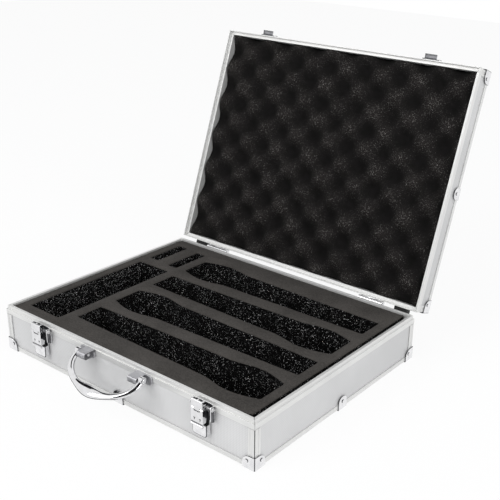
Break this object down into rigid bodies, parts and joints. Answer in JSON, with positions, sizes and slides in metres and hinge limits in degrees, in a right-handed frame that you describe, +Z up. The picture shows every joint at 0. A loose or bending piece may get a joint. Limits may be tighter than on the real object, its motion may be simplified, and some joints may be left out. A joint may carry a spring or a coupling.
{
  "type": "microphone case",
  "caption": "Aluminium-framed carrying case with a hinged, foam-lined lid, draw latches, a drop handle and a foam insert cut for handheld microphones.",
  "frame": {"origin": "centre of the bottom panel's underside", "axes": "+X to the user's right, +Y from the latches to the hinges, +Z up"},
  "size_m": [0.3838, 0.4682, 0.3379],
  "materials": {
    "panel": "silver-grey laminate, finely embossed",
    "aluminium_profile": "satin anodised",
    "plated_steel": "bright nickel plating",
    "chrome": "polished chrome",
    "base_foam": "open-cell foam, warm dark grey",
    "dark_foam": "open-cell foam, near black",
    "rubber": "moulded black rubber"
  },
  "bodies": {
    "base": {"base_bottom_panel": "panel", "base_front_wall": "panel", "base_right_wall": "panel", "base_back_wall": "panel", "base_left_wall": "panel", "base_front_rim": "aluminium_profile", "base_right_rim": "aluminium_profile", "base_back_rim": "aluminium_profile", "base_left_rim": "aluminium_profile", "base_edge_frame": "aluminium_profile", "base_corner_cap_front_left": "plated_steel", "base_corner_cap_front_right": "plated_steel", "base_corner_cap_back_right": "plated_steel", "base_corner_cap_back_left": "plated_steel", "foam_insert": "base_foam", "foam_floor_pad": "dark_foam", "hinge_base_leaf_left": "plated_steel", "hinge_base_leaf_right": "plated_steel", "hinge_pin_left": "plated_steel", "hinge_pin_right": "plated_steel", "base_rear_foot_left": "rubber", "base_rear_foot_right": "rubber", "handle_bracket_left": "chrome", "handle_bracket_right": "chrome", "handle_pin_left": "plated_steel", "handle_pin_right": "plated_steel", "latch_plate_left": "plated_steel", "latch_plate_right": "plated_steel", "latch_lever_pin_left": "plated_steel", "latch_lever_pin_right": "plated_steel", "latch_spring_left": "plated_steel", "latch_spring_right": "plated_steel"},
    "lid": {"lid_top_panel": "panel", "lid_front_wall": "panel", "lid_right_wall": "panel", "lid_back_wall": "panel", "lid_left_wall": "panel", "lid_front_rim": "aluminium_profile", "lid_right_rim": "aluminium_profile", "lid_back_rim": "aluminium_profile", "lid_left_rim": "aluminium_profile", "lid_edge_frame": "aluminium_profile", "lid_corner_cap_front_left": "plated_steel", "lid_corner_cap_front_right": "plated_steel", "lid_corner_cap_back_right": "plated_steel", "lid_corner_cap_back_left": "plated_steel", "lid_foam": "dark_foam", "hinge_lid_leaf_left": "plated_steel", "hinge_lid_leaf_right": "plated_steel", "lid_rear_foot_left": "rubber", "lid_rear_foot_right": "rubber", "keeper_left": "chrome", "keeper_right": "chrome"},
    "handle": {"handle_bail": "chrome"},
    "latch_lever_left": {"latch_lever_left": "chrome", "latch_claw_pin_left": "plated_steel"},
    "latch_claw_left": {"latch_claw_left": "chrome"},
    "latch_lever_right": {"latch_lever_right": "chrome", "latch_claw_pin_right": "plated_steel"},
    "latch_claw_right": {"latch_claw_right": "chrome"}
  },
  "joints": [
    {"name": "lid_hinge", "type": "hinge", "parent": "base", "child": "lid", "pos_m": [0, 0.1494, 0.05205], "axis": [1, 0, 0], "range_deg": [0, 110]},
    {"name": "handle_pivot", "type": "hinge", "parent": "base", "child": "handle", "pos_m": [0, -0.155, 0.0482], "axis": [-1, 0, 0], "range_deg": [-56, 77]},
    {"name": "latch_lever_left_pivot", "type": "hinge", "parent": "base", "child": "latch_lever_left", "pos_m": [-0.1238, -0.1497, 0.0482], "axis": [-1, 0, 0], "range_deg": [0, 80]},
    {"name": "latch_claw_left_pivot", "type": "hinge", "parent": "latch_lever_left", "child": "latch_claw_left", "pos_m": [-0.1238, -0.1527, 0.0442], "axis": [-1, 0, 0], "range_deg": [-88, 0]},
    {"name": "latch_lever_right_pivot", "type": "hinge", "parent": "base", "child": "latch_lever_right", "pos_m": [0.1238, -0.1497, 0.0482], "axis": [-1, 0, 0], "range_deg": [0, 80]},
    {"name": "latch_claw_right_pivot", "type": "hinge", "parent": "latch_lever_right", "child": "latch_claw_right", "pos_m": [0.1238, -0.1527, 0.0442], "axis": [-1, 0, 0], "range_deg": [-88, 0]}
  ],
  "couplings": [
    {"joint": "latch_claw_left_pivot", "follows": "latch_lever_left_pivot", "ratio": -1.1},
    {"joint": "latch_claw_right_pivot", "follows": "latch_lever_right_pivot", "ratio": -1.1}
  ]
}
